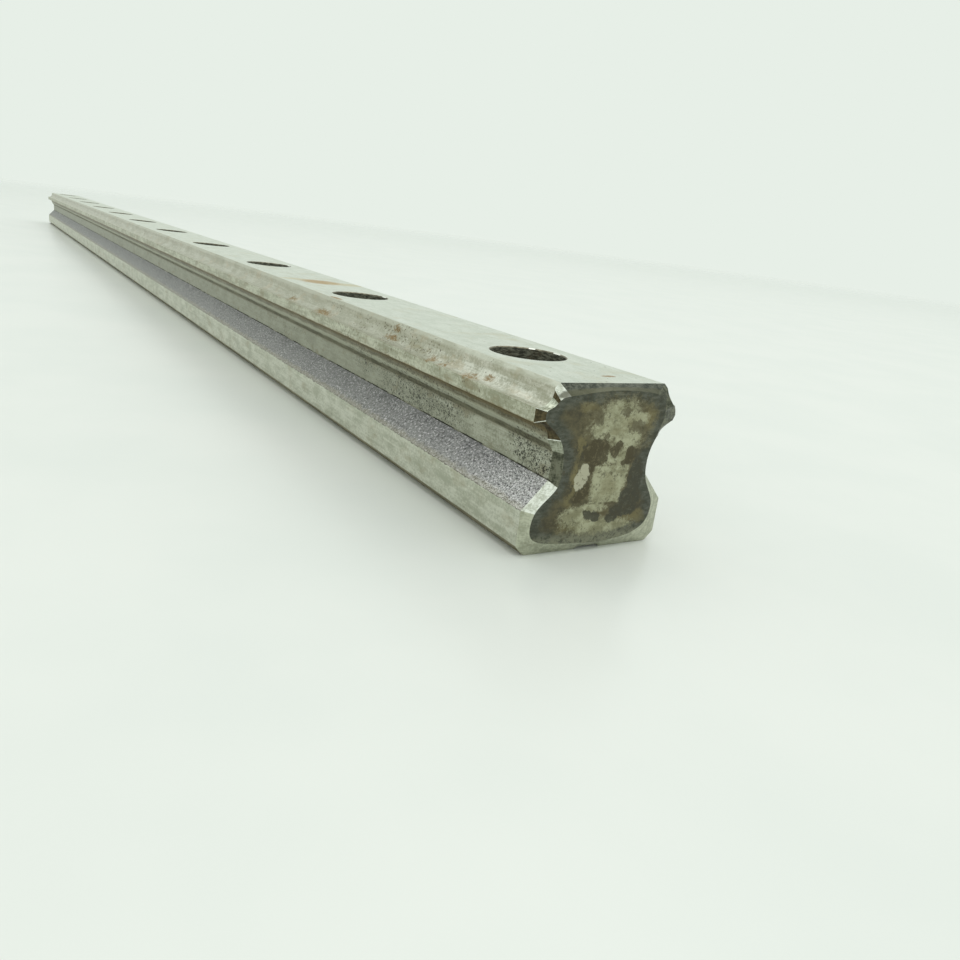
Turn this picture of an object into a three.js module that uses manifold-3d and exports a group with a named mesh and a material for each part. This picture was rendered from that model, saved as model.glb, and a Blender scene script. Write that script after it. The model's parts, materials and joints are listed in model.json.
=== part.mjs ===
// Guide rail for a four-row linear ball guide: one hardened steel bar with ground raceways
// along both sides and a row of counterbored bolt holes through its top.
// Millimetres. X runs along the rail, Y across it, Z up; the origin is the middle of the underside.

import * as THREE from "three";
import { mergeVertices } from "three/addons/utils/BufferGeometryUtils.js";
import Module from "manifold-3d";

// Overall size.
const RAIL_WIDTH = 23;
const RAIL_HEIGHT = 22;

// Bolt holes: the row sets the rail's length.
const HOLE_COUNT = 11;
const HOLE_PITCH = 60;
const END_DISTANCE = 20;
const RAIL_LENGTH = (HOLE_COUNT - 1) * HOLE_PITCH + 2 * END_DISTANCE;
const BOLT_HOLE_RADIUS = 3.5;
const COUNTERBORE_RADIUS = 5.5;
const COUNTERBORE_DEPTH = 9;
const RIM_CHAMFER = 0.3;

// Head of the section: flat top, broken corners, two raceways each side with a nose between them.
const TOP_HALF_WIDTH = 8.5;
const TOP_CHAMFER = 0.6;
const RACEWAY_RADIUS = 2.1;
const RACEWAY_CENTRE_Y = 11.2;
const RACEWAY_CENTRE_OFFSET = 3; // up and down from the middle of the nose
const NOSE_MIDDLE_Z = 18.075;

// Waist, sloping flanks and foot.
const WAIST_HALF_WIDTH = 8;
const WAIST_TOP_Z = 13.5;
const WAIST_BOTTOM_Z = 9.85;
const FOOT_SIDE_TOP_Z = 6.05;
const FOOT_CHAMFER = 1.3;

// Shallow relief along the middle of the underside.
const RELIEF_HALF_WIDTH = 2;
const RELIEF_DEPTH = 0.3;

// Ground chamfer around each end.
const END_CHAMFER_LENGTH = 1;
const END_CHAMFER_INSET = 0.8;

// Facets.
const RACEWAY_SEGMENTS = 10;
const HOLE_SEGMENTS = 48;
const CUT_CLEARANCE = 1; // how far a cutter runs past the face it opens

const wasm = await Module();
wasm.setup();

function toSolid(geometry) {
  const closed = geometry.clone();
  closed.deleteAttribute("normal");
  closed.deleteAttribute("uv");
  const merged = mergeVertices(closed, 1e-4);
  return new wasm.Manifold(
    new wasm.Mesh({
      numProp: 3,
      vertProperties: new Float32Array(merged.attributes.position.array),
      triVerts: new Uint32Array(merged.index.array),
    }),
  );
}

function toGeometry(solid) {
  const mesh = solid.getMesh();
  const geometry = new THREE.BufferGeometry();
  geometry.setAttribute("position", new THREE.BufferAttribute(mesh.vertProperties, 3));
  geometry.setIndex(new THREE.BufferAttribute(mesh.triVerts, 1));
  geometry.computeVertexNormals();
  return geometry;
}

// The upper raceway as (y, z), from its corner with the nose up to where it stands vertical.
function upperRaceway() {
  const startAngle = -Math.acos((RAIL_WIDTH / 2 - RACEWAY_CENTRE_Y) / RACEWAY_RADIUS);
  const points = [];
  for (let step = 0; step <= RACEWAY_SEGMENTS; step += 1) {
    const angle = THREE.MathUtils.lerp(startAngle, -Math.PI, step / RACEWAY_SEGMENTS);
    points.push(
      new THREE.Vector2(
        RACEWAY_CENTRE_Y + RACEWAY_RADIUS * Math.cos(angle),
        NOSE_MIDDLE_Z + RACEWAY_CENTRE_OFFSET + RACEWAY_RADIUS * Math.sin(angle),
      ),
    );
  }
  return points;
}

// The +Y half of the cross-section as (y, z), from the underside's relief up to the flat top.
function halfSection() {
  const halfWidth = RAIL_WIDTH / 2;
  const upper = upperRaceway();
  const lower = upper.map((point) => new THREE.Vector2(point.x, 2 * NOSE_MIDDLE_Z - point.y)).reverse();
  return [
    new THREE.Vector2(RELIEF_HALF_WIDTH - RELIEF_DEPTH, RELIEF_DEPTH),
    new THREE.Vector2(RELIEF_HALF_WIDTH, 0),
    new THREE.Vector2(halfWidth - FOOT_CHAMFER, 0),
    new THREE.Vector2(halfWidth, FOOT_CHAMFER),
    new THREE.Vector2(halfWidth, FOOT_SIDE_TOP_Z),
    new THREE.Vector2(WAIST_HALF_WIDTH, WAIST_BOTTOM_Z),
    new THREE.Vector2(WAIST_HALF_WIDTH, WAIST_TOP_Z),
    ...lower,
    ...upper,
    new THREE.Vector2(TOP_HALF_WIDTH + TOP_CHAMFER, RAIL_HEIGHT - TOP_CHAMFER),
    new THREE.Vector2(TOP_HALF_WIDTH, RAIL_HEIGHT),
  ];
}

// The bar before drilling: the section run along X, drawn in at both ends by the end chamfer.
function barGeometry() {
  const right = halfSection();
  const left = right.map((point) => new THREE.Vector2(-point.x, point.y)).reverse();
  const bar = new THREE.ExtrudeGeometry(new THREE.Shape([...right, ...left]), {
    depth: RAIL_LENGTH - 2 * END_CHAMFER_LENGTH,
    bevelThickness: END_CHAMFER_LENGTH,
    bevelSize: END_CHAMFER_INSET,
    bevelOffset: -END_CHAMFER_INSET,
    bevelSegments: 1,
  });
  const sectionAcrossX = new THREE.Matrix4().makeBasis(
    new THREE.Vector3(0, 1, 0),
    new THREE.Vector3(0, 0, 1),
    new THREE.Vector3(1, 0, 0),
  );
  bar.applyMatrix4(sectionAcrossX);
  bar.translate(END_CHAMFER_LENGTH - RAIL_LENGTH / 2, 0, 0);
  return bar;
}

// A round cutter standing on the XY plane at (x, 0), from bottomZ to topZ.
function roundCutter(x, bottomZ, topZ, bottomRadius, topRadius) {
  const cutter = new THREE.CylinderGeometry(topRadius, bottomRadius, topZ - bottomZ, HOLE_SEGMENTS);
  cutter.rotateX(Math.PI / 2);
  cutter.translate(x, 0, (bottomZ + topZ) / 2);
  return toSolid(cutter);
}

// Bolt hole, counterbore and broken rim at one place along the rail.
function holeCutter(x) {
  const seatZ = RAIL_HEIGHT - COUNTERBORE_DEPTH;
  const boltHole = roundCutter(x, -CUT_CLEARANCE, seatZ + CUT_CLEARANCE, BOLT_HOLE_RADIUS, BOLT_HOLE_RADIUS);
  const counterbore = roundCutter(
    x,
    seatZ,
    RAIL_HEIGHT + CUT_CLEARANCE,
    COUNTERBORE_RADIUS,
    COUNTERBORE_RADIUS,
  );
  const rim = roundCutter(
    x,
    RAIL_HEIGHT - CUT_CLEARANCE,
    RAIL_HEIGHT + CUT_CLEARANCE,
    COUNTERBORE_RADIUS + RIM_CHAMFER - CUT_CLEARANCE,
    COUNTERBORE_RADIUS + RIM_CHAMFER + CUT_CLEARANCE,
  );
  return boltHole.add(counterbore).add(rim);
}

function railGeometry() {
  let rail = toSolid(barGeometry());
  for (let index = 0; index < HOLE_COUNT; index += 1) {
    const x = END_DISTANCE - RAIL_LENGTH / 2 + index * HOLE_PITCH;
    rail = rail.subtract(holeCutter(x));
  }
  return toGeometry(rail);
}

const groundSteel = new THREE.MeshStandardMaterial({ color: 0xb9bdb3, roughness: 0.42, metalness: 0.9 });

const rail = new THREE.Mesh(railGeometry(), groundSteel);
rail.name = "rail";

const guideRail = new THREE.Group();
guideRail.add(rail);

export default guideRail;
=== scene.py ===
import json
import math

import bmesh
import bpy
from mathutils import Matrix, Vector
from mathutils.geometry import delaunay_2d_cdt


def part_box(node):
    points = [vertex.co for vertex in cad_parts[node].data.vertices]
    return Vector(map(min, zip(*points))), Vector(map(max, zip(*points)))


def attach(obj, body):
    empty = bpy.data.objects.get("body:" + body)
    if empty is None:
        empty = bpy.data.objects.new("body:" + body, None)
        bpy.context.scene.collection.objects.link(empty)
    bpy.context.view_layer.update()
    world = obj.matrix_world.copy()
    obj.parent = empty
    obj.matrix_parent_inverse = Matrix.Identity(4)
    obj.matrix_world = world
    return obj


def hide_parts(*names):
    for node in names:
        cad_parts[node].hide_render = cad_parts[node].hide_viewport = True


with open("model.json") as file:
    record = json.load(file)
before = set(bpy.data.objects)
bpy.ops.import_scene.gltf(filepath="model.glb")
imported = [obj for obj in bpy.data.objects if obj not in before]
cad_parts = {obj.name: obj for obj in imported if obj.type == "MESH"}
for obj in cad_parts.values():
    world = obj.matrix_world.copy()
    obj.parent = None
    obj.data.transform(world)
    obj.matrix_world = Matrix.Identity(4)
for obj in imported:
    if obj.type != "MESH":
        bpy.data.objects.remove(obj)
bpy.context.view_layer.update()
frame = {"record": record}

# A bare guide rail on a pale table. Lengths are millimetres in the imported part's frame (X along the
# rail, Y across it, Z up) and become metres when a mesh is made. Only lights and camera use metres.
MM = 0.001

RAIL_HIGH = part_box("rail")[1] / MM
HALF_LENGTH = RAIL_HIGH.x
HALF_WIDTH = RAIL_HIGH.y
HEIGHT = RAIL_HIGH.z
SEATS = [m["pos_m"] for m in frame["record"]["mounts"] if m["name"].startswith("bolt_seat")]
HOLE_PLACES = [seat[0] / MM for seat in SEATS]
SEAT_Z = SEATS[0][2] / MM

# Cross-section, as in the CAD part.
TOP_HALF_WIDTH = 8.5
TOP_CHAMFER = 0.6
RACEWAY_RADIUS = 2.1
RACEWAY_Y = 11.2
RACEWAY_OFFSET = 3.0
NOSE_Z = 18.075
WAIST_HALF_WIDTH = 8.0
WAIST_TOP = 13.5
WAIST_BOTTOM = 9.85
FOOT_TOP = 6.05
FOOT_CHAMFER = 1.3
RELIEF_HALF_WIDTH = 2.0
RELIEF_DEPTH = 0.3
END_CHAMFER = 1.0
END_INSET = 0.78

# Bolt holes.
BOLT_RADIUS = 3.5
COUNTERBORE_RADIUS = 5.5
RIM = 0.14
SEAT_FILLET = 0.25
CUT_CLEARANCE = 1.0  # how far a cutter runs past the faces it opens
HOLE_STEPS = 96

# Fineness of the visual mesh.
RACEWAY_STEPS = 22
STRAIGHT_STEP = 0.6
EDGE_STEPS = 3
EDGE_RADIUS = 0.14
CREVICE = 0.1
CHAMFER_RINGS = 4
FACE_GRID = 0.42
ROW_HEIGHT = 0.98 * FACE_GRID
GRID_CLEARANCE = 0.55 * FACE_GRID  # between the net's points and the face's edge
MERGE_DISTANCE = 1e-7
FACE_TOLERANCE = 0.01  # how near an end a point counts as on its face
SHARP_ANGLE = math.radians(24)

# The table: a hair below the rail, so that the two surfaces don't coincide.
FLOOR_REACH = 2600
FLOOR_Z = -0.03


def srgb(red, green, blue):
    """A display colour, 0 to 255 a channel, as the linear colour that shaders use."""
    channels = [c / 255 for c in (red, green, blue)]
    return tuple(c / 12.92 if c <= 0.04045 else ((c + 0.055) / 1.055) ** 2.4 for c in channels)


# ---------------------------------------------------------------- section


def arc(centre_z, radius, start, end):
    """Points of a raceway, from one angle to another in radians about its centre."""
    angles = [start + (end - start) * i / RACEWAY_STEPS for i in range(RACEWAY_STEPS + 1)]
    return [(RACEWAY_Y + radius * math.cos(a), centre_z + radius * math.sin(a)) for a in angles]


def raceway(name, zone, points):
    """The points inside a raceway's ends, the middle one named."""
    middle = len(points) // 2
    return [(name if i == middle else None, *points[i], zone) for i in range(1, len(points) - 1)]


def half_section(inset=0):
    """The +Y half from the underside up: (corner's name, y, z, zone of the edge after it).

    With an inset, the raceways are wider by it and stop short at a nose narrower by it.
    """
    radius = RACEWAY_RADIUS + inset
    nose_angle = math.acos((HALF_WIDTH - inset - RACEWAY_Y) / radius)
    lower = arc(NOSE_Z - RACEWAY_OFFSET, radius, math.pi, nose_angle)
    upper = arc(NOSE_Z + RACEWAY_OFFSET, radius, -nose_angle, -math.pi)
    return [
        ("relief_floor", RELIEF_HALF_WIDTH - RELIEF_DEPTH, RELIEF_DEPTH, "underside"),
        ("relief", RELIEF_HALF_WIDTH, 0, "underside"),
        ("foot_in", HALF_WIDTH - FOOT_CHAMFER, 0, "foot_chamfer"),
        ("foot_out", HALF_WIDTH, FOOT_CHAMFER, "foot_side"),
        ("foot_top", HALF_WIDTH, FOOT_TOP, "flank"),
        ("waist_low", WAIST_HALF_WIDTH, WAIST_BOTTOM, "waist"),
        ("waist_mid", WAIST_HALF_WIDTH, (WAIST_BOTTOM + WAIST_TOP) / 2, "waist"),
        ("waist_high", WAIST_HALF_WIDTH, WAIST_TOP, "under_slope"),
        ("lower_start", *lower[0], "lower_raceway"),
        *raceway("lower_mid", "lower_raceway", lower),
        ("nose_low", *lower[-1], "nose"),
        ("nose_high", *upper[0], "upper_raceway"),
        *raceway("upper_mid", "upper_raceway", upper),
        ("upper_end", *upper[-1], "upper_raceway"),
        ("corner", TOP_HALF_WIDTH + TOP_CHAMFER, HEIGHT - TOP_CHAMFER, "upper_raceway"),
        ("top", TOP_HALF_WIDTH, HEIGHT, "top"),
    ]


def whole_section(inset=0):
    """The closed outline, anticlockwise as seen from +X: (name with its side, point, zone)."""
    right = half_section(inset)
    outline = [(name and name + "+", Vector((y, z)), zone) for name, y, z, zone in right]
    outline.append(("top_middle", Vector((0, HEIGHT)), "top"))
    for index in range(len(right) - 1, -1, -1):
        name, y, z, _ = right[index]
        zone = right[index - 1][3] if index else "underside"
        outline.append((name and name + "-", Vector((-y, z)), zone))
    return outline


def split(points, pieces):
    """The loop with each edge cut into its own number of pieces."""
    result = []
    for i, (here, count) in enumerate(zip(points, pieces)):
        ahead = points[(i + 1) % len(points)]
        result += [here.lerp(ahead, k / count) for k in range(count)]
    return result


def even_inset(points):
    """The outline moved inwards by the end chamfer's inset: wider raceways, and mitres elsewhere."""
    widened = [point for _, point, _ in whole_section(END_INSET)]
    result = []
    for i, here in enumerate(points):
        before = (here - points[i - 1]).normalized()
        after = (points[(i + 1) % len(points)] - here).normalized()
        inward = Vector((-before.y - after.y, before.x + after.x)).normalized()
        mitred = here + inward * END_INSET / inward.dot(Vector((-before.y, before.x)))
        on_raceway = widened[i] != here
        result.append(widened[i] if on_raceway else mitred)
    return result


def curve_point(before, start, end, after, t):
    """A point on the centripetal Catmull-Rom curve from start to end."""
    knots = [0.0]
    for a, b in ((before, start), (start, end), (end, after)):
        knots.append(knots[-1] + (b - a).length ** 0.5)
    k0, k1, k2, k3 = knots
    u = k1 + (k2 - k1) * t
    a1 = before.lerp(start, (u - k0) / (k1 - k0))
    a2 = start.lerp(end, (u - k1) / (k2 - k1))
    a3 = end.lerp(after, (u - k2) / (k3 - k2))
    b1 = a1.lerp(a2, (u - k0) / (k2 - k0))
    b2 = a2.lerp(a3, (u - k1) / (k3 - k1))
    return b1.lerp(b2, (u - k1) / (k2 - k1))


def anchored_inset(names):
    """The near face's outline: a smooth curve past each named corner's own place."""
    count = len(names)
    named = [i for i in range(count) if names[i]]
    anchors = [Vector(NEAR_FACE[names[i]]) for i in named]
    result = [None] * count
    for k, start in enumerate(named):
        steps = (named[(k + 1) % len(named)] - start) % count
        four = [anchors[(k + shift) % len(anchors)] for shift in (-1, 0, 1, 2)]
        for step in range(steps):
            result[(start + step) % count] = curve_point(*four, step / steps)
    return result


def is_corner(name):
    return bool(name) and "mid" not in name


def worn(points, names, depth):
    """The loop with its corners rounded, and a crevice of that depth at the foot of each waist."""
    result = []
    for i, here in enumerate(points):
        before = points[i - 1] - here
        after = points[(i + 1) % len(points)] - here
        if not is_corner(names[i]):
            result.append(here)
        elif names[i].startswith("waist_low"):
            middle = (before.normalized() + after.normalized()).normalized()
            result.append(here + before.normalized() * CREVICE)
            result.append(here - middle * depth)
            result.append(here + after.normalized() * CREVICE)
        else:
            reach = min(EDGE_RADIUS, 0.4 * before.length, 0.4 * after.length)
            start = here + before.normalized() * reach
            end = here + after.normalized() * reach
            for step in range(EDGE_STEPS + 1):
                t = step / EDGE_STEPS
                result.append(start * (1 - t) ** 2 + here * 2 * t * (1 - t) + end * t**2)
    return result


def worn_zones(names, zones, ridges=(), ridge_zone=None):
    """The zone of each edge of the worn loop.

    The corners named in ridges take a zone of their own. Where there are none, crevices do.
    """
    second_half = (EDGE_STEPS + 1) // 2
    result = []
    for i, zone in enumerate(zones):
        before = zones[i - 1]
        if not is_corner(names[i]):
            result.append(zone)
        elif names[i].startswith("waist_low"):
            result += [before if ridges else "crevice"] * 2 + [zone]
        elif names[i] in ridges:
            result += [ridge_zone] * EDGE_STEPS + [zone]
        else:
            result += [before] * (EDGE_STEPS - second_half) + [zone] * (second_half + 1)
    return result


# ---------------------------------------------------------------- ends

# Where the hand-ground chamfer of the near end meets its flat face, beside each named point of the
# section: (y, z), with - for the side nearest the camera and + for the other.
NEAR_FACE = {
    "top_middle": (0, 21.3), "top-": (-7.3, 20.55), "corner-": (-8.25, 20.4),
    "upper_end-": (-8.75, 20.05), "upper_mid-": (-9.45, 19.35), "nose_high-": (-10.45, 18.75),
    "nose_low-": (-10.5, 17.65), "lower_mid-": (-9.2, 16.5), "lower_start-": (-7.8, 15.1),
    "waist_high-": (-7.05, 13.4), "waist_mid-": (-6.83, 11.3), "waist_low-": (-7.15, 9.2),
    "foot_top-": (-10.1, 5.8), "foot_out-": (-10.35, 3.1), "foot_in-": (-9.3, 2.1),
    "relief-": (-2.2, 1.25), "relief_floor-": (-1.7, 1.2), "relief_floor+": (1.7, 1.15),
    "relief+": (2.2, 1.2), "foot_in+": (6.4, 1.9), "foot_out+": (8.6, 3.3),
    "foot_top+": (9.15, 5.9), "waist_low+": (7.35, 9.4), "waist_mid+": (6.93, 11.4),
    "waist_high+": (7.2, 13.5), "lower_start+": (7.8, 15.1), "lower_mid+": (8.2, 16.4),
    "nose_low+": (8.55, 17.5), "nose_high+": (8.6, 18.4), "upper_mid+": (8.5, 19.2),
    "upper_end+": (8.15, 20.0), "corner+": (7.6, 20.45), "top+": (6.6, 20.85),
}

# What each facet of the near end's chamfer looks like, by the zone of the section that it meets.
# The side nearest the camera comes first, then the other side.
FACETS = {
    "top": ("facet_top", "facet_top"),
    "corner": ("facet_bright", "facet_slate"),
    "shoulder": ("facet_brown", "facet_slate"),
    "upper_raceway": ("facet_mixed", "facet_slate"),
    "nose": ("facet_brown", "facet_slate"),
    "lower_raceway": ("facet_brown", "facet_slate"),
    "under_slope": ("facet_dull", "facet_slate"),
    "waist": ("facet_slate", "facet_slate"),
    "flank": ("facet_bright", "facet_plain"),
    "foot_side": ("facet_plain", "facet_plain"),
    "foot_chamfer": ("facet_plain", "facet_plain"),
    "underside": ("facet_plain", "facet_plain"),
}

# Corners of the section whose ridge on the chamfer is worn, and painted bright as a painted highlight.
WORN_HIGHLIGHT_RIDGES = ("nose_high-", "nose_low-", "lower_start-")

# Where the near end's chamfer differs in length on the +Y side: the grinding wheel hardly reached
# into the raceways, and took more off the nose's corners. (middle, reach, change of length)
GRIND_CHANGES = [
    (Vector((9.8, 19.7)), 2.3, -0.85), (Vector((10.2, 16.7)), 1.9, -0.5),
    (Vector((HALF_WIDTH, 19.0)), 0.9, 0.5), (Vector((HALF_WIDTH, 17.15)), 0.7, 0.3),
]


def grind_length(point):
    """How far the near end's chamfer runs along the rail at a point of the section."""
    length = END_CHAMFER
    for middle, reach, change in GRIND_CHANGES:
        nearness = max(0, 1 - ((point - middle).length / reach) ** 2)
        length += change * nearness**2
    return length


def facet_zones(points, zones):
    """The kind of facet beside each edge of the section."""
    result = []
    for i, zone in enumerate(zones):
        middle = (points[i] + points[(i + 1) % len(points)]) / 2
        if zone == "upper_raceway" and middle.y > NOSE_Z + RACEWAY_OFFSET:
            zone = "corner"
        elif zone == "upper_raceway" and middle.y > NOSE_Z + 0.75 * RACEWAY_OFFSET:
            zone = "shoulder"
        result.append(FACETS[zone][0 if middle.x < 0 else 1])
    return result


def loop_distance(point, loop):
    """How far a point is from a closed loop."""
    best = 1e9
    for i in range(len(loop)):
        a = loop[i - 1]
        along = loop[i] - a
        share = max(0.0, min(1.0, (point - a).dot(along) / max(along.length_squared, 1e-12)))
        best = min(best, (point - a - along * share).length)
    return best


def inside(point, loop):
    """Whether a point lies within a closed loop."""
    crossings = 0
    for i in range(len(loop)):
        a, b = loop[i - 1], loop[i]
        if (a.y > point.y) != (b.y > point.y):
            if point.x < a.x + (b.x - a.x) * (point.y - a.y) / (b.y - a.y):
                crossings += 1
    return crossings % 2 == 1


# ---------------------------------------------------------------- mesh

ZONES = [
    "top", "upper_raceway", "nose", "lower_raceway", "under_slope", "waist", "crevice", "flank",
    "foot_side", "foot_chamfer", "underside", "facet_plain", "facet_bright", "facet_mixed",
    "facet_dull", "facet_slate", "facet_brown", "facet_top", "near_face", "far_face", "rim", "bore",
]


def add_ring(mesh, loop, places):
    """One vertex for each point of the section, each at its own place along the rail."""
    return [mesh.verts.new((x * MM, p.x * MM, p.y * MM)) for x, p in zip(places, loop)]


def bridge(mesh, low_ring, high_ring, zones):
    """Faces between two rings, each in the zone of its edge of the section."""
    count = len(low_ring)
    for i in range(count):
        j = (i + 1) % count
        face = mesh.faces.new((low_ring[i], low_ring[j], high_ring[j], high_ring[i]))
        face.material_index = ZONES.index(zones[i])


def chamfer_rings(mesh, outer, inner, starts, end):
    """Rings in between an end chamfer's two edges."""
    rings = []
    for ring in range(1, CHAMFER_RINGS):
        t = ring / CHAMFER_RINGS
        loop = [a.lerp(b, t) for a, b in zip(outer, inner)]
        rings.append(add_ring(mesh, loop, [start + (end - start) * t for start in starts]))
    return rings


def net_points(loop):
    """Points of a triangle net inside a closed loop, clear of its edge."""
    points = []
    for i in range(int(2 * HALF_WIDTH / FACE_GRID) + 1):
        for j in range(int(HEIGHT / FACE_GRID) + 1):
            shift = 0.5 * (j % 2)
            point = Vector(((i + shift) * FACE_GRID - HALF_WIDTH, j * ROW_HEIGHT))
            if inside(point, loop) and loop_distance(point, loop) > GRID_CLEARANCE:
                points.append(point)
    return points


def cap(mesh, ring, loop, zone, outward):
    """Fills an end with a fine triangle net, so that it can carry the distance from its edge."""
    places = [*loop, *net_points(loop)]
    edges = [(i, (i + 1) % len(loop)) for i in range(len(loop))]
    _, _, faces, sources, _, _ = delaunay_2d_cdt(places, edges, [], 1, MERGE_DISTANCE)
    x = ring[0].co.x
    made = list(ring) + [mesh.verts.new((x, p.x * MM, p.y * MM)) for p in places[len(loop):]]
    for corners in faces:
        order = corners if outward > 0 else reversed(corners)
        face = mesh.faces.new([made[sources[c][0]] for c in order])
        face.material_index = ZONES.index(zone)


def bar_mesh():
    """The bar before drilling, and the outline of its near face."""
    section_names, section, section_zones = (list(column) for column in zip(*whole_section()))
    lengths = [(section[(i + 1) % len(section)] - here).length for i, here in enumerate(section)]
    pieces = [max(1, round(length / STRAIGHT_STEP)) for length in lengths]
    names = []
    zones = []
    for name, zone, count in zip(section_names, section_zones, pieces):
        names += [name] + [None] * (count - 1)
        zones += [zone] * count
    straight = split(section, pieces)
    # Worn ridges get the bright facet colour as a painted highlight.
    facets = worn_zones(names, facet_zones(straight, zones), WORN_HIGHLIGHT_RIDGES, "facet_bright")
    outer = worn(straight, names, CREVICE)
    near_inner = worn(anchored_inset(names), names, 0)
    far_inner = worn(split(even_inset(section), pieces), names, 0)
    zones = worn_zones(names, zones)
    mesh = bmesh.new()

    count = len(outer)
    far_starts = [END_CHAMFER - HALF_LENGTH] * count
    near_starts = [HALF_LENGTH - grind_length(point) for point in outer]
    between = [[(a + b) / 2] * count for a, b in zip(HOLE_PLACES, HOLE_PLACES[1:])]
    body = [add_ring(mesh, outer, places) for places in (far_starts, *between, near_starts)]
    far = add_ring(mesh, far_inner, [-HALF_LENGTH] * count)
    near = add_ring(mesh, near_inner, [HALF_LENGTH] * count)
    far_rings = chamfer_rings(mesh, outer, far_inner, far_starts, -HALF_LENGTH)
    near_rings = chamfer_rings(mesh, outer, near_inner, near_starts, HALF_LENGTH)

    for low_ring, high_ring in zip(body, body[1:]):
        bridge(mesh, low_ring, high_ring, zones)
    far_run = [far, *reversed(far_rings), body[0]]
    near_run = [body[-1], *near_rings, near]
    for run, kinds in ((far_run, ["facet_plain"] * count), (near_run, facets)):
        for low_ring, high_ring in zip(run, run[1:]):
            bridge(mesh, low_ring, high_ring, kinds)
    cap(mesh, far, far_inner, "far_face", -1)
    cap(mesh, near, near_inner, "near_face", 1)
    return mesh, near_inner


def hole_profile():
    """A bolt hole's cutter from the bottom up: (radius, z, zone of the wall above it)."""
    return [
        (BOLT_RADIUS, -CUT_CLEARANCE, "bore"),
        (BOLT_RADIUS, SEAT_Z - SEAT_FILLET, "bore"),
        (BOLT_RADIUS + SEAT_FILLET, SEAT_Z, "bore"),
        (COUNTERBORE_RADIUS - SEAT_FILLET, SEAT_Z, "bore"),
        (COUNTERBORE_RADIUS, SEAT_Z + SEAT_FILLET, "bore"),
        (COUNTERBORE_RADIUS, HEIGHT - RIM, "rim"),
        (COUNTERBORE_RADIUS + RIM, HEIGHT, "rim"),
        (COUNTERBORE_RADIUS + RIM, HEIGHT + CUT_CLEARANCE, "rim"),
    ]


def cutter_mesh():
    """All the bolt holes' cutters as one mesh of separate closed solids."""
    mesh = bmesh.new()
    profile = hole_profile()
    for place in HOLE_PLACES:
        rings = []
        for radius, z, _ in profile:
            ring = []
            for step in range(HOLE_STEPS):
                angle = 2 * math.pi * step / HOLE_STEPS
                x = place + radius * math.cos(angle)
                y = radius * math.sin(angle)
                ring.append(mesh.verts.new((x * MM, y * MM, z * MM)))
            rings.append(ring)
        for level in range(len(rings) - 1):
            zones = [profile[level][2]] * HOLE_STEPS
            bridge(mesh, rings[level], rings[level + 1], zones)
        mesh.faces.new(list(reversed(rings[0])))
        mesh.faces.new(rings[-1])
    return mesh


def as_object(mesh, name, materials):
    data = bpy.data.meshes.new(name)
    mesh.to_mesh(data)
    mesh.free()
    for material in materials:
        data.materials.append(material)
    thing = bpy.data.objects.new(name, data)
    bpy.context.scene.collection.objects.link(thing)
    return thing


def drill(bar, cutters):
    """Cuts the holes into the bar for good and removes the cutters."""
    modifier = bar.modifiers.new("holes", "BOOLEAN")
    modifier.operation = "DIFFERENCE"
    modifier.solver = "EXACT"
    modifier.object = cutters
    evaluated = bar.evaluated_get(bpy.context.evaluated_depsgraph_get())
    drilled = bpy.data.meshes.new_from_object(evaluated)
    bar.modifiers.clear()
    bar.data = drilled
    bpy.data.objects.remove(cutters)


def mark_rim_distance(rail, loop):
    """Stores each vertex's distance from the near face's edge, in millimetres, for its heat tint."""
    attribute = rail.data.attributes.new("rim_distance", "FLOAT", "POINT")
    values = []
    for vertex in rail.data.vertices:
        point = Vector((vertex.co.y / MM, vertex.co.z / MM))
        on_face = vertex.co.x / MM > HALF_LENGTH - FACE_TOLERANCE
        values.append(loop_distance(point, loop) if on_face else 0.0)
    attribute.data.foreach_set("value", values)


# ---------------------------------------------------------------- shader helpers


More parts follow.
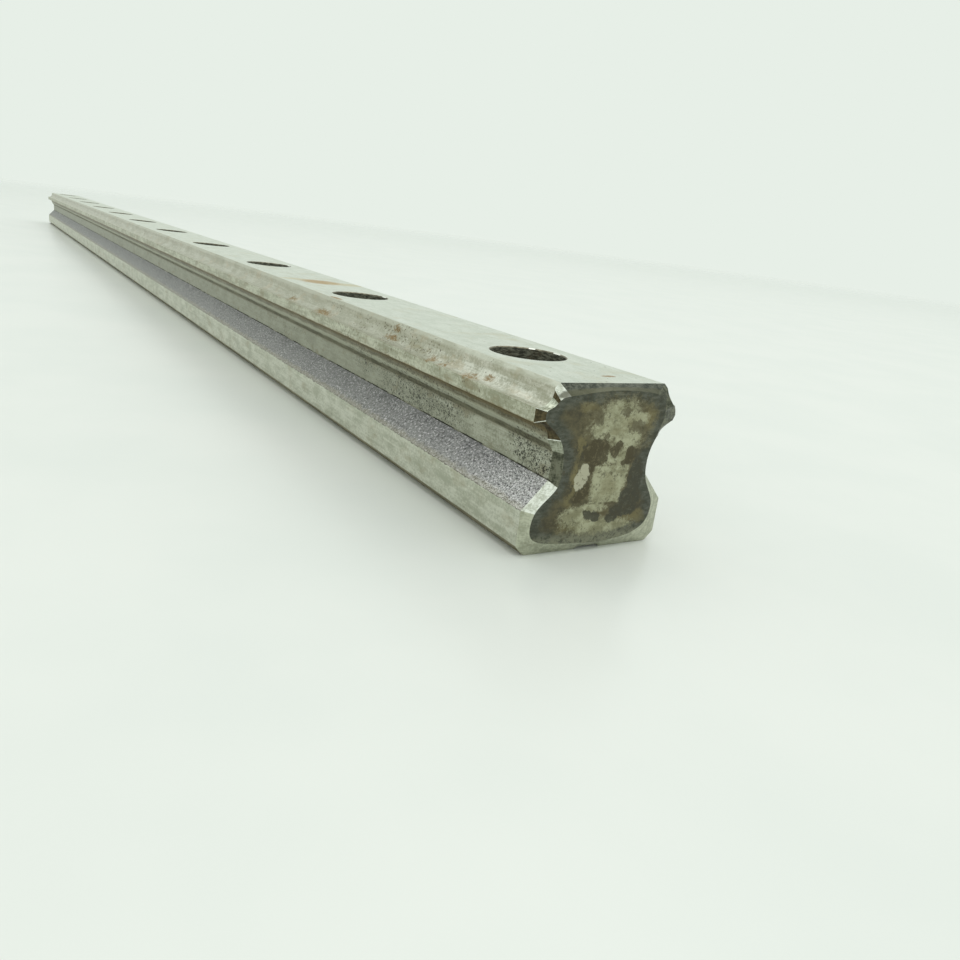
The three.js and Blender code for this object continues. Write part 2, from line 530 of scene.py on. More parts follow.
class Shader:
    """A material's node tree, with a short method for each kind of node the rail needs."""

    def __init__(self, name, metallic, roughness):
        self.material = bpy.data.materials.new(name)
        self.material.use_nodes = True
        self.tree = self.material.node_tree
        self.surface = self.tree.nodes["Principled BSDF"]
        self.surface.inputs["Metallic"].default_value = metallic
        self.surface.inputs["Roughness"].default_value = roughness
        place = self.add("ShaderNodeTexCoord").outputs["Object"]
        self.mm = self.vector("SCALE", place, scale=1 / MM)
        split = self.add("ShaderNodeSeparateXYZ")
        self.tree.links.new(self.mm, split.inputs[0])
        self.x, self.y, self.z = split.outputs

    def add(self, kind):
        return self.tree.nodes.new(kind)

    def feed(self, socket, value):
        if isinstance(value, bpy.types.NodeSocket):
            self.tree.links.new(value, socket)
        elif isinstance(value, tuple) and socket.type == "RGBA":
            socket.default_value = (*value, 1)
        else:
            socket.default_value = value

    def vector(self, operation, a, b=None, scale=None):
        node = self.add("ShaderNodeVectorMath")
        node.operation = operation
        self.feed(node.inputs[0], a)
        if b is not None:
            self.feed(node.inputs[1], b)
        if scale is not None:
            node.inputs["Scale"].default_value = scale
        return node.outputs["Value" if operation == "LENGTH" else "Vector"]

    def largest(self, vector):
        """The largest of a vector's three sizes."""
        split = self.add("ShaderNodeSeparateXYZ")
        self.feed(split.inputs[0], self.vector("ABSOLUTE", vector))
        return self.highest(list(split.outputs))

    def math(self, operation, a, b=0.0):
        node = self.add("ShaderNodeMath")
        node.operation = operation
        self.feed(node.inputs[0], a)
        self.feed(node.inputs[1], b)
        return node.outputs[0]

    def scaled(self, value, factor):
        return self.math("MULTIPLY", value, factor)

    def noise_node(self, scale, detail, stretch, seed, roughness):
        node = self.add("ShaderNodeTexNoise")
        place = self.vector("MULTIPLY", self.mm, stretch)
        self.feed(node.inputs["Vector"], self.vector("ADD", place, (seed, seed * 0.7, -seed)))
        node.inputs["Scale"].default_value = scale
        node.inputs["Detail"].default_value = detail
        node.inputs["Roughness"].default_value = roughness
        return node

    def noise(self, scale, detail=3.0, stretch=(1, 1, 1), seed=0.0, roughness=0.55):
        """Cloud noise of about `scale` features per millimetre, near 0.5 on average."""
        return self.noise_node(scale, detail, stretch, seed, roughness).outputs["Fac"]

    def warped(self, reach, scale, seed):
        """The position moved about by up to half of `reach` millimetres, for ragged outlines."""
        swirl = self.noise_node(scale, 5, (1, 1, 1), seed, 0.7).outputs["Color"]
        centred = self.vector("SUBTRACT", swirl, (0.5, 0.5, 0.5))
        return self.vector("ADD", self.mm, self.vector("SCALE", centred, scale=2 * reach))

    def ragged_height(self, reach, scale, detail, seed, roughness=0.55):
        """The height, raised unevenly by up to `reach` millimetres, for ragged boundaries."""
        rise = self.scaled(self.noise(scale, detail, seed=seed, roughness=roughness), reach)
        return self.math("ADD", self.z, rise)

    def step(self, value, low, high, start=0.0, end=1.0):
        """A smooth step of value from low to high."""
        node = self.add("ShaderNodeMapRange")
        node.interpolation_type = "SMOOTHSTEP"
        self.feed(node.inputs["Value"], value)
        node.inputs["From Min"].default_value = low
        node.inputs["From Max"].default_value = high
        node.inputs["To Min"].default_value = start
        node.inputs["To Max"].default_value = end
        return node.outputs["Result"]

    def band(self, value, centre, half_width, fade):
        """1 near the centre value, fading to 0 on both sides."""
        away = self.math("ABSOLUTE", self.math("SUBTRACT", value, centre))
        return self.step(away, half_width, half_width + fade, 1.0, 0.0)

    def mix(self, share, a, b):
        node = self.add("ShaderNodeMix")
        node.data_type = "RGBA"
        self.feed(node.inputs["Factor"], share)
        colours = [socket for socket in node.inputs if socket.type == "RGBA"]
        self.feed(colours[0], a)
        self.feed(colours[1], b)
        return next(socket for socket in node.outputs if socket.type == "RGBA")

    def paint(self, base, mask, colour, share=1.0):
        """The colour laid over the base where the mask is 1."""
        return self.mix(self.scaled(mask, share), base, colour)

    def highest(self, masks):
        result = masks[0]
        for mask in masks[1:]:
            result = self.math("MAXIMUM", result, mask)
        return result

    def patches(self, place, spots, fade=0.12):
        """1 inside any of the ellipsoids (centre, radii), fading to 0 outside."""
        masks = []
        for centre, radii in spots:
            shares = self.vector("DIVIDE", self.vector("SUBTRACT", place, centre), radii)
            reach = self.vector("LENGTH", shares)
            masks.append(self.step(reach, 1 - fade, 1 + fade, 1.0, 0.0))
        return self.highest(masks)

    def dull_where(self, mask, metallic):
        """Makes the surface less metallic where the mask is 1, so that stains show at a low angle."""
        full = self.surface.inputs["Metallic"].default_value
        self.feed(self.surface.inputs["Metallic"], self.step(mask, 0, 1, full, metallic))

    def finish(self, colour, height=None, bump=0.3, depth=0.02, roughness=None):
        """Links the colour, and bump and roughness if they vary. depth is in millimetres."""
        self.feed(self.surface.inputs["Base Color"], colour)
        if roughness is not None:
            self.feed(self.surface.inputs["Roughness"], roughness)
        if height is not None:
            node = self.add("ShaderNodeBump")
            node.inputs["Strength"].default_value = bump
            node.inputs["Distance"].default_value = depth * MM
            self.feed(node.inputs["Height"], height)
            self.feed(self.surface.inputs["Normal"], node.outputs["Normal"])
        return self.material


ALONG = (0.04, 1, 1)  # stretches noise into marks that run along the rail


def aged_steel(s, pale, dark, seed, spread=0.09):
    """Ground steel gone dull: lines along the rail, cloudy patches and a fine grain."""
    lines = s.noise(3.0, 4, ALONG, seed)
    clouds = s.noise(0.5, 5, (0.45, 1, 1), seed + 7, 0.65)
    grain = s.noise(2.4, 4, (1, 1, 1), seed + 3, 0.75)
    total = s.math("ADD", s.scaled(lines, 0.22), s.scaled(clouds, 0.4))
    total = s.math("ADD", total, s.scaled(grain, 0.38))
    return s.mix(s.step(total, 0.5 - spread, 0.5 + spread), dark, pale), lines


def dulled(s, colour, dull, share):
    """The colour left as it is near the ground end, and duller further along."""
    return s.paint(colour, s.step(s.x, 312, 268), dull, share)


def grime(s, seed):
    """How dirty the rail is at each place: thick in a few stretches near the end, light elsewhere."""
    place = s.warped(6, 0.12, seed)
    stretches = s.patches(place, [
        ((284, -9, 13), (17, 9, 7)),
        ((315.5, -9, 13), (5.5, 9, 6)),
        ((262, -9, 16), (7, 9, 5)),
        ((279, -9, 20.5), (13, 6, 1.6)),
        ((303, -11.5, 18.2), (4.5, 3, 1.2)),
    ], 0.5)
    elsewhere = s.step(s.noise(0.09, 3, (0.6, 1, 1), seed + 5), 0.5, 0.68, 0.0, 0.6)
    return s.math("MAXIMUM", stretches, elsewhere)


def specks(s, size, share, seed, dirt=None, gain=0.0):
    """Uneven dots up to `size` millimetres across, on more places where it's dirty."""
    node = s.add("ShaderNodeTexVoronoi")
    nudged = s.vector("ADD", s.warped(0.7 * size, 1.6 / size, seed), (seed, seed, seed))
    s.feed(node.inputs["Vector"], nudged)
    node.inputs["Scale"].default_value = 0.75 / size
    draw = s.vector("LENGTH", node.outputs["Color"])
    level = s.math("ADD", s.scaled(dirt, gain), share) if dirt else share
    ragged = s.scaled(s.noise(2.2 / size, 3, seed=seed + 1, roughness=0.7), 0.9)
    radius = s.math("ADD", s.scaled(draw, 0.6), s.math("SUBTRACT", level, 1.28))
    outside = s.math("SUBTRACT", node.outputs["Distance"], s.math("ADD", radius, ragged))
    return s.step(outside, 0.05, -0.08)


# ---------------------------------------------------------------- materials

RUST = srgb(134, 106, 58)
TAN = srgb(184, 164, 132)
GREASE_AND_SHADOW_OLIVE = srgb(112, 98, 58)
PIT = srgb(46, 44, 34)
DARK_SCALE = srgb(70, 66, 50)
KHAKI_SCALE = srgb(96, 95, 76)

# Rust beside the upper raceway: (x, y, z) and how far it reaches along the rail.
RUST_SPOTS = [
    ((305.7, -9.7, 19.6), 0.9),
    ((302.4, -10.8, 19.1), 1.9),
    ((294.8, -10.6, 19.1), 0.8),
    ((291.2, -10.6, 19.1), 1.0),
    ((276.0, -9.7, 19.6), 1.9),
    ((276.4, -9.1, 21.1), 0.9),
    ((247.0, -10.4, 19.2), 3.4),
    ((229.0, -10.6, 19.4), 1.6),
]


def rust_mask(s, seed):
    """Reddish grains of rust at RUST_SPOTS."""
    place = s.warped(1.4, 1.0, seed)
    near = s.patches(place, [(centre, (1.1 * reach, 1.1, 0.45)) for centre, reach in RUST_SPOTS], 0.5)
    grains = s.step(s.noise(2.6, 5, (0.8, 1, 1), seed + 1, 0.75), 0.36, 0.52)
    return s.math("MULTIPLY", near, grains)


def top_material():
    s = Shader("ground_top", 0.85, 0.36)
    colour, lines = aged_steel(s, srgb(218, 221, 212), srgb(196, 201, 188), 1)
    place = s.warped(1.2, 0.5, 3)
    yellow = s.patches(place, [((214.5, -5, 22), (1.8, 3, 3)), ((220, 5, 22), (2.6, 5, 3))], 0.5)
    colour = s.paint(colour, yellow, srgb(196, 182, 140), 0.7)
    stain = s.patches(place, [((218.0, -0.2, 22), (4.2, 4.4, 3))], 0.35)
    colour = s.paint(colour, stain, srgb(166, 138, 98), 0.85)
    settled = s.warped(0.5, 1.2, 9)
    brown = s.patches(settled, [((247, -8.0, 22), (2.6, 0.8, 2)), ((315, 2.3, 22), (0.5, 1.2, 2))], 0.3)
    colour = s.paint(colour, brown, srgb(142, 112, 74), 0.85)
    veil = s.step(s.noise(0.16, 4, (1, 1, 1), 8, 0.6), 0.52, 0.7)
    colour = s.paint(colour, veil, srgb(196, 192, 168), 0.55)
    beside_first_hole = s.step(s.x, 275, 300)
    small = specks(s, 0.45, -0.06, 17, beside_first_hole, 0.2)
    dots = s.math("MAXIMUM", specks(s, 1.0, 0.06, 5), small)
    colour = s.paint(colour, dots, srgb(104, 98, 84), 0.75)
    scratches = s.band(s.noise(0.9, 2, (0.05, 1.6, 1), 12), 0.5, 0.0, 0.006)
    colour = s.paint(colour, scratches, srgb(152, 152, 138), 0.35)
    edge = s.band(s.y, -8.45, 0.05, 0.2)
    colour = s.paint(colour, edge, srgb(190, 188, 170), 0.6)
    soiled = s.highest([stain, brown, dots])
    s.dull_where(soiled, 0.2)
    rough = s.math("MAXIMUM", s.step(lines, 0.3, 0.7, 0.30, 0.42), s.scaled(soiled, 0.75))
    return s.finish(colour, lines, 0.18, 0.01, rough)


def upper_raceway_material():
    s = Shader("upper_raceway", 0.85, 0.33)
    colour, lines = aged_steel(s, srgb(226, 225, 214), srgb(172, 171, 154), 20)
    # Painted light by height: a painted highlight on the lower part, which faces up beside the nose;
    # painted shade on the steep part; and the top chamfer painted lighter as lit from above.
    bright = s.step(s.z, 19.5, 18.95)
    colour = s.paint(colour, bright, srgb(220, 221, 210), 0.4)
    shade = s.band(s.z, 21.0, 0.25, 0.5)
    colour = s.paint(colour, shade, srgb(164, 158, 136), 0.28)
    edge = s.step(s.z, 21.35, 21.6)
    colour = s.paint(colour, edge, srgb(210, 211, 197), 0.7)
    colour = dulled(s, colour, srgb(158, 156, 135), 0.52)
    dirt = grime(s, 22)
    tan = s.step(s.noise(0.35, 4, (0.6, 1, 1), 23, 0.65), 0.52, 0.66)
    colour = s.paint(colour, tan, TAN, 0.3)
    stains = s.step(s.noise(0.28, 5, (0.4, 1, 1), 26, 0.65), 0.52, 0.64)
    colour = s.paint(colour, stains, srgb(150, 148, 124), 0.4)
    dots = specks(s, 0.28, 0.1, 24, dirt, 0.42)
    colour = s.paint(colour, dots, srgb(96, 86, 68), 0.75)
    rust = rust_mask(s, 25)
    colour = s.paint(colour, rust, RUST, 0.85)
    soiled = s.math("MAXIMUM", rust, dots)
    s.dull_where(soiled, 0.3)
    return s.finish(colour, lines, 0.22, 0.012, s.step(soiled, 0, 1, 0.33, 0.75))


def nose_material():
    s = Shader("nose", 0.8, 0.4)
    colour, lines = aged_steel(s, srgb(196, 197, 178), srgb(152, 152, 130), 40)
    dirt = grime(s, 41)
    height = s.ragged_height(0.7, 0.5, 4, 42)
    colour = s.paint(colour, s.step(height, 17.72, 17.5), srgb(126, 104, 62), 0.7)
    stains = s.step(s.noise(0.45, 4, (0.6, 1, 1), 43, 0.65), 0.52, 0.66)
    colour = s.paint(colour, stains, srgb(136, 124, 92), 0.45)
    dots = specks(s, 0.3, 0.1, 44, dirt, 0.4)
    colour = s.paint(colour, dots, srgb(92, 78, 54), 0.7)
    colour = s.paint(colour, rust_mask(s, 45), RUST, 0.7)
    return s.finish(colour, lines, 0.2, 0.012)


def lower_raceway_material():
    s = Shader("lower_raceway", 0.75, 0.42)
    # Dark base colours: painted shade under the overhanging nose, with dirt.
    colour, lines = aged_steel(s, srgb(134, 130, 108), srgb(92, 88, 66), 60)
    height = s.ragged_height(0.5, 0.4, 3, 61)
    # Olive band just under the nose: grease with a painted shadow of the nose.
    colour = s.paint(colour, s.step(height, 16.0, 16.3), GREASE_AND_SHADOW_OLIVE, 0.75)
    # Pale band at the bottom: a painted highlight along the raceway's lower edge.
    colour = s.paint(colour, s.step(height, 15.75, 15.25), srgb(176, 178, 158), 0.75)
    dirt = grime(s, 63)
    dots = specks(s, 0.3, 0.12, 64, dirt, 0.44)
    colour = s.paint(colour, dots, srgb(58, 48, 32), 0.7)
    return s.finish(colour, lines, 0.25, 0.015)


def under_slope_material():
    s = Shader("under_slope", 0.6, 0.5)
    # Painted light: the dark base colours are painted shade where the slope faces down, with grease;
    # the pale band at its top is a painted highlight along the raceway's lower edge.
    pale = s.step(s.ragged_height(0.4, 0.4, 3, 81), 14.5, 14.8)
    colour, lines = aged_steel(s, srgb(130, 128, 104), srgb(88, 86, 65), 80)
    colour = s.paint(colour, pale, srgb(188, 190, 170), 0.8)
    dots = specks(s, 0.3, 0.12, 84, grime(s, 83), 0.44)
    colour = s.paint(colour, dots, srgb(58, 50, 34), 0.7)
    return s.finish(colour, lines, 0.25, 0.015)


def waist_material():
    s = Shader("waist", 0.7, 0.45)
    colour, lines = aged_steel(s, srgb(182, 183, 167), srgb(139, 140, 122), 90)
    colour = dulled(s, colour, srgb(140, 141, 124), 0.55)
    stains = s.step(s.noise(0.3, 4, (0.7, 1, 1), 92, 0.6), 0.56, 0.68)
    colour = s.paint(colour, stains, srgb(120, 108, 78), 0.45)
    upper_edge = s.step(s.ragged_height(0.8, 0.7, 3, 97), 13.4, 13.9)
    colour = s.paint(colour, upper_edge, srgb(112, 102, 76), 0.45)
    dirt = grime(s, 94)
    small = specks(s, 0.2, 0.08, 95, dirt, 0.54)
    large = specks(s, 0.4, -0.04, 96, dirt, 0.4)
    dark = s.math("MAXIMUM", small, large)
    colour = s.paint(colour, dark, PIT, 0.92)
    height = s.math("SUBTRACT", s.scaled(lines, 0.3), dark)
    return s.finish(colour, height, 0.5, 0.04)


def crevice_material():
    s = Shader("crevice", 0.2, 0.8)
    grain = s.noise(0.7, 4, (0.5, 1, 1), 100)
    # The dark colour in the crevice is painted shade, broken up by the grain.
    colour = s.mix(s.step(grain, 0.42, 0.62), srgb(62, 60, 50), srgb(168, 166, 148))
    return s.finish(colour, grain, 0.3, 0.02)


def flank_material():
    """As-drawn surface: lavender-grey with a coarse grain, sparkling with painted glints near the end.
    """
    s = Shader("flank", 0.65, 0.5)
    grain = s.noise(3.0, 3, (0.8, 1, 1), 110, 0.75)
    clouds = s.step(s.noise(0.2, 4, seed=112), 0.35, 0.65)
    tone = s.mix(clouds, srgb(136, 134, 137), srgb(156, 154, 156))
    tone = s.paint(tone, s.step(s.z, 9.6, 6.4), srgb(184, 182, 180), 0.45)
    tone = s.paint(tone, s.step(s.x, 300, 318), srgb(206, 204, 204), 0.5)
    tone = dulled(s, tone, srgb(124, 124, 122), 0.6)
    crispness = s.step(s.x, 240, 318, 0.6, 0.95)
    light_grains = s.math("MULTIPLY", s.step(grain, 0.54, 0.66), crispness)
    dark_grains = s.math("MULTIPLY", s.step(grain, 0.46, 0.34), crispness)
    speckled = s.paint(tone, light_grains, srgb(232, 226, 232))
    speckled = s.paint(speckled, dark_grains, srgb(70, 64, 70))
    sparks = s.noise(5.0, 2, seed=116, roughness=0.6)
    near = s.step(s.x, 298, 315)
    # Near-white sparks near the end are painted glints.
    painted_glints = s.math("MULTIPLY", near, s.step(sparks, 0.56, 0.62))
    dark_sparks = s.math("MULTIPLY", near, s.step(sparks, 0.44, 0.38))
    speckled = s.paint(speckled, painted_glints, srgb(252, 248, 252), 0.8)
    speckled = s.paint(speckled, dark_sparks, srgb(58, 54, 60), 0.8)
    warm = s.step(s.ragged_height(1.2, 0.5, 3, 113), 7.5, 6.9)
    speckled = s.paint(speckled, warm, srgb(176, 168, 144), 0.35)
    marks = specks(s, 0.5, 0.06, 114)
    colour = s.paint(speckled, marks, srgb(52, 48, 44), 0.75)
    return s.finish(colour, grain, 0.9, 0.07, s.step(grain, 0.3, 0.7, 0.6, 0.38))


def foot_side_material():
    s = Shader("foot_side", 0.75, 0.42)
    colour, lines = aged_steel(s, srgb(208, 209, 195), srgb(172, 174, 156), 130)
    stains = s.step(s.noise(0.3, 4, (0.6, 1, 1), 132, 0.6), 0.55, 0.7)
    colour = s.paint(colour, stains, srgb(160, 152, 124), 0.45)
    upper_edge = s.step(s.ragged_height(0.9, 0.8, 4, 131, 0.65), 6.4, 6.5)
    colour = s.paint(colour, upper_edge, srgb(96, 88, 84), 0.8)
    dots = specks(s, 0.6, 0.0, 133)
    colour = s.paint(colour, dots, srgb(92, 82, 64), 0.75)
    return s.finish(colour, lines, 0.15, 0.01)


def foot_chamfer_material():
    s = Shader("foot_chamfer", 0.5, 0.55)
    # Darker than the foot's side: painted shade of the gap under the foot.
    colour, lines = aged_steel(s, srgb(156, 148, 122), srgb(112, 106, 82), 150)
    return s.finish(colour, lines, 0.3, 0.02)


def underside_material():
    s = Shader("underside", 0.8, 0.4)
    colour, lines = aged_steel(s, srgb(192, 190, 176), srgb(164, 160, 142), 160)
    dots = specks(s, 0.5, 0.1, 163)
    colour = s.paint(colour, dots, srgb(100, 92, 72), 0.7)
    return s.finish(colour, lines, 0.2, 0.012)


# The kinds of facet on an end chamfer: pale and dark colour, how even they are, and any stain.
FACET_LOOKS = {
    "facet_plain": (srgb(194, 196, 176), srgb(160, 162, 142), 0.08, None),
    "facet_bright": (srgb(244, 246, 238), srgb(196, 198, 184), 0.08, DARK_SCALE),
    "facet_mixed": (srgb(212, 216, 200), srgb(128, 130, 112), 0.09, None),
    "facet_dull": (srgb(172, 176, 158), srgb(104, 106, 88), 0.09, None),
    "facet_slate": (srgb(116, 117, 100), srgb(66, 68, 55), 0.07, None),
    "facet_brown": (srgb(96, 86, 62), srgb(62, 56, 38), 0.08, None),
    "facet_top": (srgb(104, 106, 96), srgb(62, 65, 58), 0.08, KHAKI_SCALE),
}


def facet_material(kind):
    """One hand-ground facet of an end chamfer, with short marks across it and perhaps a stain."""
    pale, dark, spread, stain = FACET_LOOKS[kind]
    s = Shader(kind, 0.8, 0.38)
    marks = s.noise(2.4, 4, (2.2, 1, 0.35), 170, 0.65)
    cross = s.noise(2.8, 3, (0.4, 0.5, 2.4), 171, 0.65)
    cloud = s.noise(0.8, 4, seed=172)
    total = s.math("ADD", s.scaled(marks, 0.35), s.scaled(cross, 0.3))
    total = s.math("ADD", total, s.scaled(cloud, 0.35))
    colour = s.mix(s.step(total, 0.5 - spread, 0.5 + spread), dark, pale)
    if stain:
        # On the top facets, the half beside the flat face.
        wander = s.math("ADD", s.x, s.scaled(s.math("SUBTRACT", cross, 0.5), 0.5))
        on_top = s.step(s.z, 20.2, 20.5)
        inner = s.math("MULTIPLY", on_top, s.step(wander, HALF_LENGTH - 0.55, HALF_LENGTH - 0.35))
        colour = s.paint(colour, inner, stain, 0.7)
    return s.finish(colour, marks, 0.4, 0.03)


# Patches on the near face as ellipses, or boxes for the window: (y, z, half width, half height).
# Each group has its colour's reason in its name, and they are painted in this order.
TAN_PATCHES = [
    (5.9, 17.6, 1.0, 1.6), (-4.9, 9.5, 0.45, 3.2), (6.0, 4.2, 2.0, 0.8), (-4.6, 14.5, 0.5, 1.3),
    (-4.2, 19.2, 1.2, 0.7), (-3.5, 3.4, 2.5, 0.5),
]
HALO_PATCHES = [
    (0.8, 17.6, 5.2, 2.9), (2.8, 15.0, 3.6, 1.8), (-1.2, 4.2, 5.6, 1.9), (0.9, 9.2, 3.6, 3.2),
]
CLEARED_PATCHES = [
    (1.0, 18.2, 3.1, 1.8), (0.2, 16.5, 3.3, 1.8), (2.8, 15.2, 2.5, 1.5), (-1.7, 16.4, 1.5, 1.4),
    (4.4, 17.6, 1.4, 1.0), (-4.0, 5.0, 2.2, 1.2), (-2.6, 4.2, 3.0, 1.1), (0.8, 3.4, 5.2, 1.0),
    (-1.4, 6.0, 2.6, 0.6), (0.2, 12.6, 1.8, 1.1), (2.4, 12.4, 0.9, 1.3),
]
WINDOW_BOXES = [(1.0, 10.1, 2.85, 1.5), (0.75, 8.2, 2.6, 1.6)]
SMUDGED_PATCHES = [(1.1, 8.9, 1.5, 1.2), (3.2, 17.4, 1.6, 1.0), (0.9, 16.3, 1.2, 0.5)]
MOTTLED_PATCHES = [
    (2.0, 18.6, 0.9, 0.7), (4.4, 16.6, 1.5, 0.9), (-2.2, 17.8, 0.7, 0.9), (-0.5, 15.5, 0.5, 0.4),
]
PALE_PATCHES = [(-3.3, 11.0, 1.0, 1.1), (-3.6, 10.0, 1.0, 1.2), (-4.0, 9.2, 0.7, 0.8)]
DARK_PATCHES = [
    (-1.9, 14.2, 1.7, 1.0), (-1.1, 13.9, 1.3, 1.3), (-1.5, 12.7, 1.4, 1.0), (-3.1, 13.4, 0.9, 1.1),
    (1.1, 13.5, 0.75, 0.9), (1.6, 14.2, 0.6, 0.7), (-2.2, 11.6, 0.5, 0.9),
    (3.8, 13.2, 0.7, 0.9), (3.7, 12.4, 0.8, 0.8), (2.9, 11.8, 0.5, 0.4),
    (-3.2, 8.2, 1.1, 0.6), (-3.7, 7.5, 1.1, 0.6), (-2.6, 8.8, 0.6, 0.6),
]
BLACK_PATCHES = [
    (5.3, 10.0, 1.2, 2.4), (5.0, 7.0, 1.8, 1.8), (4.2, 5.3, 2.3, 0.9), (2.4, 4.4, 1.1, 0.7),
    (-0.9, 4.9, 1.2, 0.6), (-1.8, 5.3, 0.8, 0.4), (-0.3, 4.4, 0.6, 0.4),
]


def torn_patches(s, place, torn_by, fade, patches, square=False):
    """1 inside the union of the near face's patches, its edge torn by a noise."""
    depth = 9  # along the rail, so deep that only y and z matter
    nearest = None
    for y, z, half_width, half_height in patches:
        away = s.vector("SUBTRACT", place, (HALF_LENGTH, y, z))
        shares = s.vector("DIVIDE", away, (depth, half_width, half_height))
        share = s.largest(shares) if square else s.vector("LENGTH", shares)
        nearest = share if nearest is None else s.math("MINIMUM", nearest, share)
    return s.step(s.math("ADD", nearest, torn_by), 1 + fade, 1 - fade)


def heat_tint(s, broad, streaks):
    """Blue-grey scale along the face's edge and brown scale inside it."""
    node = s.add("ShaderNodeAttribute")
    node.attribute_name = "rim_distance"
    wobble = s.math("SUBTRACT", s.noise(0.35, 5, seed=181, roughness=0.6), 0.5)
    rim = s.math("ADD", node.outputs["Fac"], s.scaled(wobble, 3.0))
    brown = s.mix(s.step(broad, 0.4, 0.62), srgb(72, 68, 53), srgb(98, 92, 68))
    blue = s.mix(s.step(streaks, 0.36, 0.66), srgb(64, 66, 55), srgb(94, 96, 86))
    return s.mix(s.step(rim, 0.8, 2.4), blue, brown)


def bare_steel(s, fine, broad, streaks):
    """Khaki-grey steel where the scale is gone."""
    khaki = s.mix(s.step(broad, 0.36, 0.6), srgb(136, 134, 106), srgb(178, 178, 150))
    khaki = s.paint(khaki, s.step(streaks, 0.5, 0.36), srgb(122, 118, 88), 0.5)
    return s.paint(khaki, s.step(fine, 0.56, 0.66), srgb(196, 196, 170), 0.45)


def near_face_material():
    """Cut end: heat tint inside its edge, and a cleared, blotched middle under dark scale."""
    s = Shader("near_face", 0.55, 0.42)
    fine = s.noise(1.7, 6, seed=182, roughness=0.75)
    broad = s.noise(0.5, 6, (1, 1, 1.2), 183, 0.65)
    streaks = s.noise(1.2, 5, (1, 0.6, 1.5), 184, 0.7)
    ragged = s.math("SUBTRACT", s.noise(2.2, 5, seed=188, roughness=0.75), 0.5)
    place = s.warped(0.7, 0.8, 185)
    loose_place = s.warped(2.0, 0.4, 186)
    tight_place = s.warped(0.25, 1.0, 189)

    def patched(patches, reach, tear, fade, square=False):
        return torn_patches(s, reach, s.scaled(ragged, tear), fade, patches, square)

    colour = heat_tint(s, broad, streaks)
    tan = patched(TAN_PATCHES, loose_place, 1.0, 0.6)
    colour = s.paint(colour, tan, srgb(136, 126, 86), 0.55)
    halo = patched(HALO_PATCHES, loose_place, 1.6, 0.5)
    thin_scale = s.mix(s.step(streaks, 0.4, 0.6), srgb(96, 88, 62), srgb(130, 124, 96))
    colour = s.paint(colour, halo, thin_scale, 0.75)

    cleared = patched(CLEARED_PATCHES, place, 1.9, 0.3)
    window = patched(WINDOW_BOXES, tight_place, 0.6, 0.08, square=True)
    cleared = s.math("MAXIMUM", cleared, window)
    colour = s.paint(colour, cleared, bare_steel(s, fine, broad, streaks), 0.92)
    smudged = patched(SMUDGED_PATCHES, loose_place, 1.2, 0.5)
    colour = s.paint(colour, smudged, srgb(130, 124, 92), 0.5)
    mottled = patched(MOTTLED_PATCHES, place, 3.2, 0.15)
    colour = s.paint(colour, mottled, srgb(92, 86, 64), 0.75)
    pale = patched(PALE_PATCHES, place, 0.5, 0.1)
    colour = s.paint(colour, pale, srgb(188, 185, 162), 0.88)

    dark = patched(DARK_PATCHES, place, 0.7, 0.1)
    brown_scale = s.mix(s.step(fine, 0.5, 0.68), srgb(74, 67, 46), srgb(116, 108, 82))
    colour = s.paint(colour, dark, brown_scale, 0.92)
    black = patched(BLACK_PATCHES, place, 0.7, 0.1)
    black_scale = s.mix(s.step(fine, 0.5, 0.7), srgb(66, 65, 53), srgb(96, 96, 82))
    colour = s.paint(colour, black, black_scale, 0.9)

    pits = s.step(s.noise(1.5, 5, seed=187, roughness=0.75), 0.56, 0.6)
    colour = s.paint(colour, pits, srgb(74, 68, 48), 0.6)
    faded = s.math("MULTIPLY", s.step(s.z, 3.4, 1.6), s.step(fine, 0.36, 0.56))
    colour = s.paint(colour, faded, srgb(146, 146, 124), 0.75)
    return s.finish(colour, fine, 0.35, 0.03, s.step(fine, 0.3, 0.7, 0.36, 0.52))


def far_face_material():
    s = Shader("far_face", 0.8, 0.42)
    marks = s.noise(2.4, 3, (1, 0.12, 1), 200)
    clouds = s.noise(0.3, 3, seed=201)
    colour = s.mix(s.step(clouds, 0.35, 0.65), srgb(150, 150, 136), srgb(180, 180, 168))
    colour = s.paint(colour, s.step(marks, 0.5, 0.35), srgb(120, 119, 104), 0.5)
    return s.finish(colour, marks, 0.3, 0.02)


def rim_material():
    """The broken edge of a hole: brown, with glints on the far side of the nearest three."""
    s = Shader("hole_rim", 0.7, 0.45)
    wear = s.noise(1.4, 4, seed=210)
    colour = s.mix(s.step(wear, 0.4, 0.62), srgb(92, 84, 68), srgb(146, 140, 122))
    spots = [((place - 0.5, 5.6, HEIGHT), (0.8, 0.5, 0.5)) for place in HOLE_PLACES[-3:]]
    spots.append(((HOLE_PLACES[-1] - 4.2, 3.6, HEIGHT), (0.5, 0.5, 0.5)))
    glints = s.patches(s.mm, spots)
    colour = s.paint(colour, glints, srgb(250, 250, 244), 0.95)
    return s.finish(colour, wear, 0.3, 0.03)


def bore_material():
    s = Shader("bore", 0.45, 0.5)
    rings = s.noise(2.2, 5, (0.5, 0.5, 1.6), 220, 0.75)
    colour = s.mix(s.step(rings, 0.4, 0.62), srgb(66, 66, 56), srgb(142, 141, 126))
    rust = s.step(s.noise(0.5, 4, seed=221), 0.56, 0.68)
    colour = s.paint(colour, rust, srgb(86, 72, 52), 0.5)
    return s.finish(colour, rings, 0.5, 0.05)


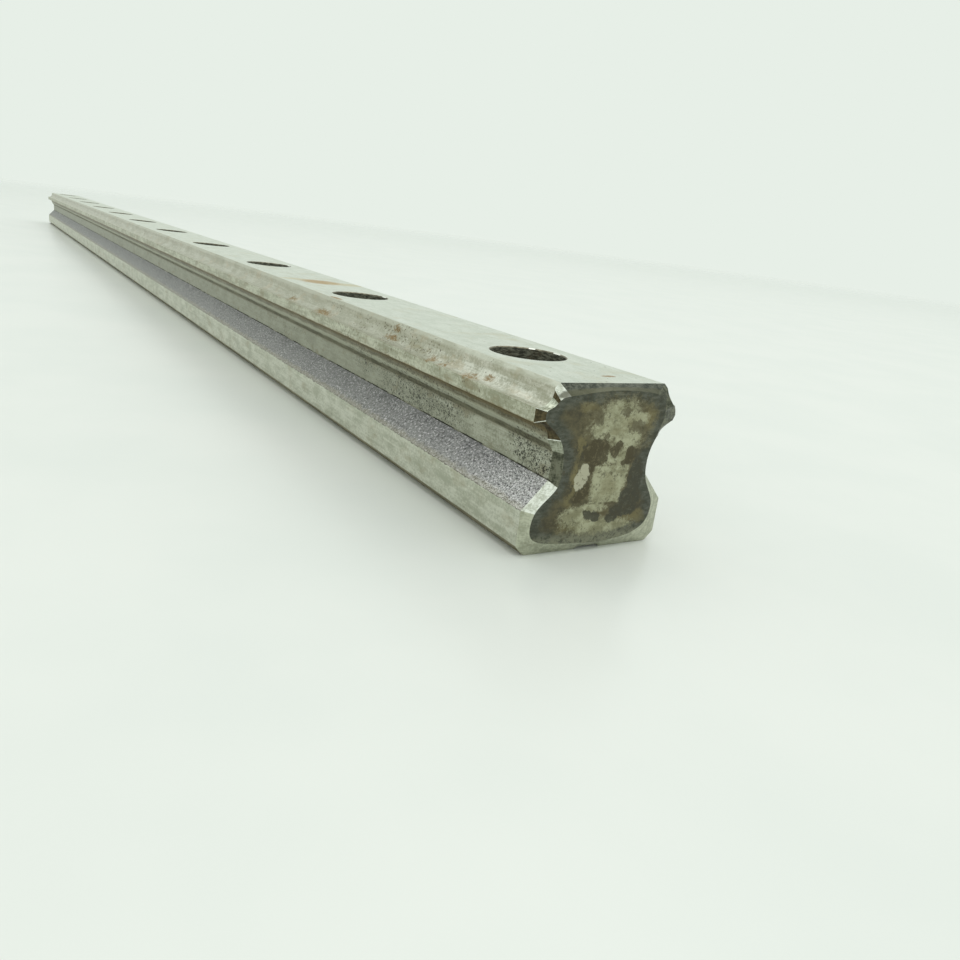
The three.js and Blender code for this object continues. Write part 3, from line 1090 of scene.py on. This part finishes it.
MATERIALS = {
    "top": top_material,
    "upper_raceway": upper_raceway_material,
    "nose": nose_material,
    "lower_raceway": lower_raceway_material,
    "under_slope": under_slope_material,
    "waist": waist_material,
    "crevice": crevice_material,
    "flank": flank_material,
    "foot_side": foot_side_material,
    "foot_chamfer": foot_chamfer_material,
    "underside": underside_material,
    "near_face": near_face_material,
    "far_face": far_face_material,
    "rim": rim_material,
    "bore": bore_material,
}


def zone_material(zone):
    return facet_material(zone) if zone in FACET_LOOKS else MATERIALS[zone]()


def make_rail():
    materials = [zone_material(zone) for zone in ZONES]
    mesh, near_loop = bar_mesh()
    rail = as_object(mesh, "ground_rail", materials)
    drill(rail, as_object(cutter_mesh(), "hole_cutters", materials))
    mark_rim_distance(rail, near_loop)
    rail.data.shade_smooth()
    rail.data.set_sharp_from_angle(angle=SHARP_ANGLE)
    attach(rail, "root")
    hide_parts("rail")


# ---------------------------------------------------------------- surroundings

# Lights and camera, in metres and degrees.
SOFTBOX_PLACE = Vector((0.25, 0.25, 1.5))
SOFTBOX_TARGET = Vector((0.2, 0, 0))
CAMERA_PLACE = (0.39323, -0.06719, 0.03841)
CAMERA_TURN = (72.425, -7.055, 58.68)


def make_floor():
    """A pale, slightly glossy table top under the rail, fading into the backdrop far away."""
    mesh = bmesh.new()
    reach = FLOOR_REACH * MM
    corners = [(-reach, -reach), (reach, -reach), (reach, reach), (-reach, reach)]
    mesh.faces.new([mesh.verts.new((x, y, FLOOR_Z * MM)) for x, y in corners])
    s = Shader("table", 0.0, 0.3)
    cloud = s.step(s.noise(0.03, 3, seed=300), 0.3, 0.7)
    colour = s.mix(cloud, srgb(225, 227, 225), srgb(229, 230, 228))
    away = s.vector("LENGTH", s.mm)
    opacity = s.step(away, FLOOR_REACH * 0.95, FLOOR_REACH * 0.25)
    s.feed(s.surface.inputs["Alpha"], opacity)
    as_object(mesh, "table_top", [s.finish(colour)])


def make_lights():
    """Soft light from high up behind the rail, and a pale sky all round."""
    world = bpy.data.worlds.new("studio")
    bpy.context.scene.world = world
    world.use_nodes = True
    background = world.node_tree.nodes["Background"]
    background.inputs["Color"].default_value = (*srgb(231, 239, 231), 1)
    background.inputs["Strength"].default_value = 1.0
    lamp = bpy.data.lights.new("softbox", "AREA")
    lamp.shape = "SQUARE"
    lamp.size = 1.8
    lamp.energy = 9
    lamp.color = (1.0, 1.0, 0.98)
    holder = bpy.data.objects.new("softbox", lamp)
    holder.location = SOFTBOX_PLACE
    holder.rotation_euler = (SOFTBOX_TARGET - SOFTBOX_PLACE).to_track_quat("-Z", "Y").to_euler()
    bpy.context.scene.collection.objects.link(holder)


def make_camera():
    """Close to the near end, low, looking along the rail."""
    data = bpy.data.cameras.new("camera")
    data.sensor_width = 36
    data.lens = 30.18
    data.clip_start = 0.005
    camera = bpy.data.objects.new("camera", data)
    camera.location = CAMERA_PLACE
    camera.rotation_euler = [math.radians(angle) for angle in CAMERA_TURN]
    bpy.context.scene.collection.objects.link(camera)
    bpy.context.scene.camera = camera


make_camera()
make_rail()
make_floor()
make_lights()
bpy.context.scene.view_settings.view_transform = "Standard"
